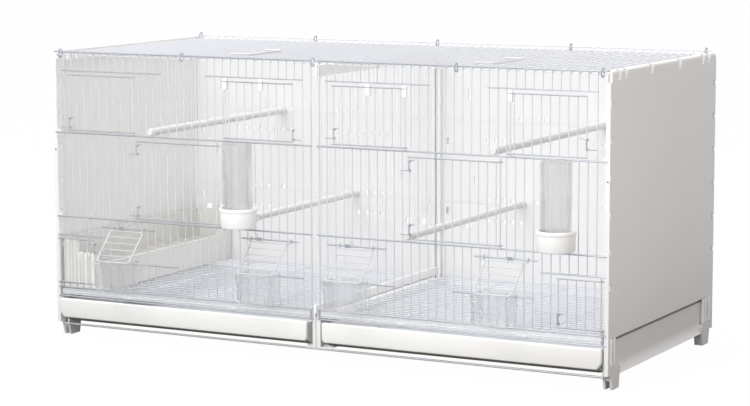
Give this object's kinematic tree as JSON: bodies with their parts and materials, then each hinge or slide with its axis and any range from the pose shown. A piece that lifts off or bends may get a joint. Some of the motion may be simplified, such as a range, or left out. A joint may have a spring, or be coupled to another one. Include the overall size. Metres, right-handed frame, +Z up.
{
  "type": "breeding cage",
  "caption": "Wide breeding cage with wire front and roof, plastic sides on feet, doors, outside feeders, a pull-out divider and trays.",
  "frame": {"origin": "on the ground under the middle of the whole object, silos and cups included", "axes": "+X to the right seen from the front, +Y to the back, +Z up; the front faces -Y"},
  "size_m": [0.9, 0.46, 0.4396],
  "materials": {
    "white_plastic": "satin white moulding",
    "ivory_plastic": "satin ivory moulding",
    "cream_plastic": "satin cream moulding",
    "clear_plastic": "clear polystyrene",
    "spring_wire": "bright spring wire",
    "zinc_wire": "zinc-plated wire, pale blue-grey"
  },
  "bodies": {
    "cage_body": {"side_panel_left": "white_plastic", "side_panel_right": "white_plastic", "back_panel_left": "white_plastic", "back_panel_right": "white_plastic", "back_center_post": "white_plastic", "center_beam": "white_plastic", "front_grille_left": "zinc_wire", "front_grille_right": "zinc_wire", "roof_grille": "zinc_wire", "roof_clips": "spring_wire", "front_tie_wire": "zinc_wire", "back_tie_wire": "zinc_wire", "side_trough": "ivory_plastic", "perch_upper_left": "cream_plastic", "perch_upper_right": "cream_plastic", "perch_lower_left": "cream_plastic", "perch_lower_right": "cream_plastic", "flap_spring_1": "spring_wire", "flap_spring_2": "spring_wire", "flap_spring_3": "spring_wire", "flap_spring_4": "spring_wire"},
    "upper_door_1": {"upper_door_1": "zinc_wire"},
    "latch_upper_1": {"latch_upper_1": "spring_wire"},
    "upper_door_2": {"upper_door_2": "zinc_wire"},
    "latch_upper_2": {"latch_upper_2": "spring_wire"},
    "upper_door_3": {"upper_door_3": "zinc_wire"},
    "latch_upper_3": {"latch_upper_3": "spring_wire"},
    "upper_door_4": {"upper_door_4": "zinc_wire"},
    "latch_upper_4": {"latch_upper_4": "spring_wire"},
    "middle_door_left": {"middle_door_left": "zinc_wire"},
    "latch_middle_left_top": {"latch_middle_left_top": "spring_wire"},
    "latch_middle_left_low": {"latch_middle_left_low": "spring_wire"},
    "middle_door_right": {"middle_door_right": "zinc_wire"},
    "latch_middle_right_top": {"latch_middle_right_top": "spring_wire"},
    "latch_middle_right_low": {"latch_middle_right_low": "spring_wire"},
    "corner_door_left": {"corner_door_left": "zinc_wire"},
    "latch_corner_left": {"latch_corner_left": "spring_wire"},
    "corner_door_right": {"corner_door_right": "zinc_wire"},
    "latch_corner_right": {"latch_corner_right": "spring_wire"},
    "feeder_flap_1": {"feeder_flap_1": "zinc_wire"},
    "feeder_cup_1": {"feeder_cup_1": "clear_plastic"},
    "feeder_flap_2": {"feeder_flap_2": "zinc_wire"},
    "feeder_cup_2": {"feeder_cup_2": "clear_plastic"},
    "feeder_flap_3": {"feeder_flap_3": "zinc_wire"},
    "feeder_cup_3": {"feeder_cup_3": "clear_plastic"},
    "feeder_flap_4": {"feeder_flap_4": "zinc_wire"},
    "feeder_cup_4": {"feeder_cup_4": "clear_plastic"},
    "tray_left": {"tray_left": "ivory_plastic"},
    "floor_grille_left": {"floor_grille_left": "zinc_wire"},
    "silo_cup_left": {"silo_cup_left": "white_plastic"},
    "silo_tube_left": {"silo_tube_left": "clear_plastic"},
    "tray_right": {"tray_right": "ivory_plastic"},
    "floor_grille_right": {"floor_grille_right": "zinc_wire"},
    "silo_cup_right": {"silo_cup_right": "white_plastic"},
    "silo_tube_right": {"silo_tube_right": "clear_plastic"},
    "divider": {"divider": "zinc_wire"},
    "handle_left": {"handle_left": "cream_plastic"},
    "handle_right": {"handle_right": "cream_plastic"}
  },
  "joints": [
    {"name": "upper_door_1_hinge", "type": "hinge", "parent": "cage_body", "child": "upper_door_1", "pos_m": [-0.30578, -0.1788, 0.3569], "axis": [0, 0, 1], "range_deg": [0, 110]},
    {"name": "latch_upper_1_pivot", "type": "hinge", "parent": "upper_door_1", "child": "latch_upper_1", "pos_m": [-0.41793, -0.1793, 0.3569], "axis": [0, 0, 1], "range_deg": [0, 70]},
    {"name": "upper_door_2_hinge", "type": "hinge", "parent": "cage_body", "child": "upper_door_2", "pos_m": [-0.14529, -0.1788, 0.3569], "axis": [0, 0, -1], "range_deg": [0, 110]},
    {"name": "latch_upper_2_pivot", "type": "hinge", "parent": "upper_door_2", "child": "latch_upper_2", "pos_m": [-0.03314, -0.1793, 0.3569], "axis": [0, 0, -1], "range_deg": [0, 70]},
    {"name": "upper_door_3_hinge", "type": "hinge", "parent": "cage_body", "child": "upper_door_3", "pos_m": [0.14529, -0.1788, 0.3569], "axis": [0, 0, 1], "range_deg": [0, 110]},
    {"name": "latch_upper_3_pivot", "type": "hinge", "parent": "upper_door_3", "child": "latch_upper_3", "pos_m": [0.03314, -0.1793, 0.3569], "axis": [0, 0, 1], "range_deg": [0, 70]},
    {"name": "upper_door_4_hinge", "type": "hinge", "parent": "cage_body", "child": "upper_door_4", "pos_m": [0.30578, -0.1788, 0.3569], "axis": [0, 0, -1], "range_deg": [0, 110]},
    {"name": "latch_upper_4_pivot", "type": "hinge", "parent": "upper_door_4", "child": "latch_upper_4", "pos_m": [0.41793, -0.1793, 0.3569], "axis": [0, 0, -1], "range_deg": [0, 70]},
    {"name": "middle_door_left_hinge", "type": "hinge", "parent": "cage_body", "child": "middle_door_left", "pos_m": [-0.15982, -0.1788, 0.24625], "axis": [0, 0, 1], "range_deg": [0, 100]},
    {"name": "latch_middle_left_top_pivot", "type": "hinge", "parent": "middle_door_left", "child": "latch_middle_left_top", "pos_m": [-0.29851, -0.1793, 0.24625], "axis": [0, 0, 1], "range_deg": [0, 70]},
    {"name": "latch_middle_left_low_pivot", "type": "hinge", "parent": "middle_door_left", "child": "latch_middle_left_low", "pos_m": [-0.29851, -0.1793, 0.24625], "axis": [0, 0, 1], "range_deg": [0, 70]},
    {"name": "middle_door_right_hinge", "type": "hinge", "parent": "cage_body", "child": "middle_door_right", "pos_m": [0.29124, -0.1788, 0.24625], "axis": [0, 0, 1], "range_deg": [0, 110]},
    {"name": "latch_middle_right_top_pivot", "type": "hinge", "parent": "middle_door_right", "child": "latch_middle_right_top", "pos_m": [0.15256, -0.1793, 0.24625], "axis": [0, 0, 1], "range_deg": [0, 70]},
    {"name": "latch_middle_right_low_pivot", "type": "hinge", "parent": "middle_door_right", "child": "latch_middle_right_low", "pos_m": [0.15256, -0.1793, 0.24625], "axis": [0, 0, 1], "range_deg": [0, 70]},
    {"name": "corner_door_left_hinge", "type": "hinge", "parent": "cage_body", "child": "corner_door_left", "pos_m": [-0.4405, -0.1788, 0.11725], "axis": [0, 0, -1], "range_deg": [0, 110]},
    {"name": "latch_corner_left_pivot", "type": "hinge", "parent": "corner_door_left", "child": "latch_corner_left", "pos_m": [-0.37812, -0.1793, 0.11725], "axis": [0, 0, -1], "range_deg": [0, 70]},
    {"name": "corner_door_right_hinge", "type": "hinge", "parent": "cage_body", "child": "corner_door_right", "pos_m": [0.4405, -0.1788, 0.11725], "axis": [0, 0, 1], "range_deg": [0, 110]},
    {"name": "latch_corner_right_pivot", "type": "hinge", "parent": "corner_door_right", "child": "latch_corner_right", "pos_m": [0.37812, -0.1793, 0.11725], "axis": [0, 0, 1], "range_deg": [0, 70]},
    {"name": "feeder_flap_1_hinge", "type": "hinge", "parent": "cage_body", "child": "feeder_flap_1", "pos_m": [-0.31842, -0.1761, 0.1715], "axis": [-1, 0, 0], "range_deg": [0, 50]},
    {"name": "feeder_cup_1_lift_off", "type": "slide", "parent": "cage_body", "child": "feeder_cup_1", "axis": [0, -1, 0], "range_m": [0, 0.07]},
    {"name": "feeder_flap_2_hinge", "type": "hinge", "parent": "cage_body", "child": "feeder_flap_2", "pos_m": [-0.07427, -0.1761, 0.1715], "axis": [-1, 0, 0], "range_deg": [0, 50]},
    {"name": "feeder_cup_2_lift_off", "type": "slide", "parent": "cage_body", "child": "feeder_cup_2", "axis": [0, -1, 0], "range_m": [0, 0.07]},
    {"name": "feeder_flap_3_hinge", "type": "hinge", "parent": "cage_body", "child": "feeder_flap_3", "pos_m": [0.06764, -0.1761, 0.1715], "axis": [-1, 0, 0], "range_deg": [0, 50]},
    {"name": "feeder_cup_3_lift_off", "type": "slide", "parent": "cage_body", "child": "feeder_cup_3", "axis": [0, -1, 0], "range_m": [0, 0.07]},
    {"name": "feeder_flap_4_hinge", "type": "hinge", "parent": "cage_body", "child": "feeder_flap_4", "pos_m": [0.29851, -0.1761, 0.1715], "axis": [-1, 0, 0], "range_deg": [0, 50]},
    {"name": "feeder_cup_4_lift_off", "type": "slide", "parent": "cage_body", "child": "feeder_cup_4", "axis": [0, -1, 0], "range_m": [0, 0.07]},
    {"name": "tray_left_slide", "type": "slide", "parent": "cage_body", "child": "tray_left", "axis": [0, -1, 0], "range_m": [0, 0.33]},
    {"name": "floor_grille_left_slide", "type": "slide", "parent": "cage_body", "child": "floor_grille_left", "axis": [0, -1, 0], "range_m": [0, 0.33]},
    {"name": "silo_left_take_off", "type": "slide", "parent": "cage_body", "child": "silo_cup_left", "axis": [0, -1, 0], "range_m": [0, 0.05]},
    {"name": "silo_tube_left_lift", "type": "slide", "parent": "silo_cup_left", "child": "silo_tube_left", "axis": [0, 0, 1], "range_m": [0, 0.04]},
    {"name": "tray_right_slide", "type": "slide", "parent": "cage_body", "child": "tray_right", "axis": [0, -1, 0], "range_m": [0, 0.33]},
    {"name": "floor_grille_right_slide", "type": "slide", "parent": "cage_body", "child": "floor_grille_right", "axis": [0, -1, 0], "range_m": [0, 0.33]},
    {"name": "silo_right_take_off", "type": "slide", "parent": "cage_body", "child": "silo_cup_right", "axis": [0, -1, 0], "range_m": [0, 0.05]},
    {"name": "silo_tube_right_lift", "type": "slide", "parent": "silo_cup_right", "child": "silo_tube_right", "axis": [0, 0, 1], "range_m": [0, 0.04]},
    {"name": "divider_slide", "type": "slide", "parent": "cage_body", "child": "divider", "axis": [0, -1, 0], "range_m": [0, 0.36]},
    {"name": "handle_left_hinge", "type": "hinge", "parent": "cage_body", "child": "handle_left", "pos_m": [-0.17911, -0.054, 0.4292], "axis": [0, -1, 0], "range_deg": [0, 90]},
    {"name": "handle_right_hinge", "type": "hinge", "parent": "cage_body", "child": "handle_right", "pos_m": [0.21892, -0.054, 0.4292], "axis": [0, -1, 0], "range_deg": [0, 90]}
  ]
}
